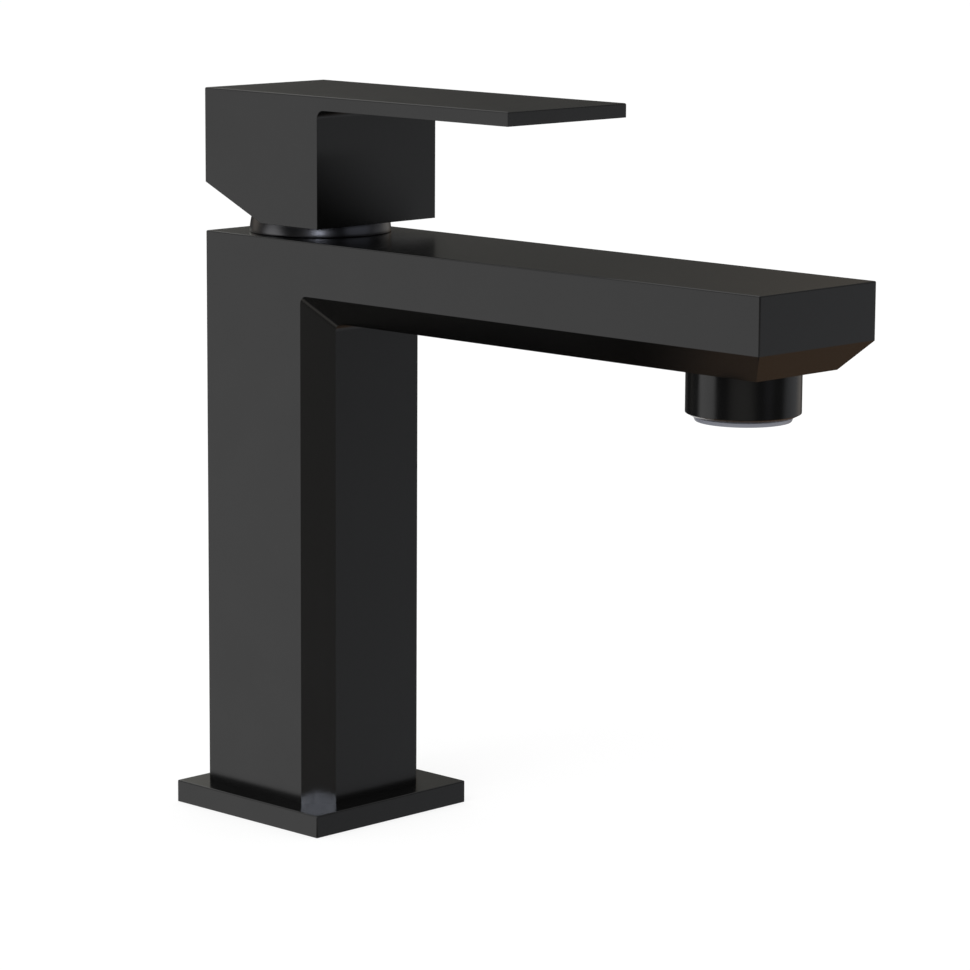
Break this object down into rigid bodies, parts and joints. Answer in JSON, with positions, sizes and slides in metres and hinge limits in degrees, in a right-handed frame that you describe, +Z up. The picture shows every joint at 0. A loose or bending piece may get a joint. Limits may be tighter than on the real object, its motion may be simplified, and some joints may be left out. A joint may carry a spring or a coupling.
{
  "type": "bathroom mixer faucet",
  "caption": "Deck-mounted single-lever basin mixer in satin black: square column, flat chamfered spout with a round aerator, and a block handle with a thin lever over a ceramic-disc cartridge.",
  "frame": {"origin": "on the column's axis, at the deck face under the base plate", "axes": "+X along the spout towards its tip, +Z up along the column"},
  "size_m": [0.185, 0.0514, 0.1802],
  "materials": {
    "black_coat": "satin",
    "black_plastic": "satin",
    "seal_rubber": "matte",
    "cartridge_plastic": "satin",
    "disc_ceramic": "polished",
    "steel": "satin",
    "brass": "satin",
    "insert_plastic": "satin"
  },
  "bodies": {
    "faucet": {"faucet_body": "black_coat", "base_plate": "black_coat", "bonnet_dome": "black_coat", "aerator_housing": "black_coat", "base_gasket": "seal_rubber", "port_seals": "seal_rubber", "housing_o_ring": "seal_rubber", "aerator_washer": "seal_rubber", "cartridge_base": "cartridge_plastic", "cartridge_housing": "cartridge_plastic", "fixed_disc": "disc_ceramic", "aerator_screen": "steel", "cartridge_nut": "brass", "aerator_insert": "insert_plastic"},
    "turret": {"turret": "black_plastic", "pivot_pin": "steel"},
    "handle": {"handle": "black_coat", "spindle": "brass", "grub_screw": "steel", "index_plug": "black_plastic"},
    "disc": {"disc_carrier": "black_plastic", "moving_disc": "disc_ceramic"}
  },
  "joints": [
    {"name": "temperature_turn", "type": "hinge", "parent": "faucet", "child": "turret", "pos_m": [0, 0, 0.1445], "axis": [0, 0, 1], "range_deg": [-45, 45]},
    {"name": "flow_lift", "type": "hinge", "parent": "turret", "child": "handle", "pos_m": [0, 0, 0.1445], "axis": [0, -1, 0], "range_deg": [0, 25]},
    {"name": "disc_slide", "type": "slide", "parent": "turret", "child": "disc", "axis": [1, 0, 0], "range_m": [0, 0.00423]}
  ],
  "couplings": [
    {"joint": "disc_slide", "follows": "flow_lift", "m_per_rad": 0.009686}
  ]
}
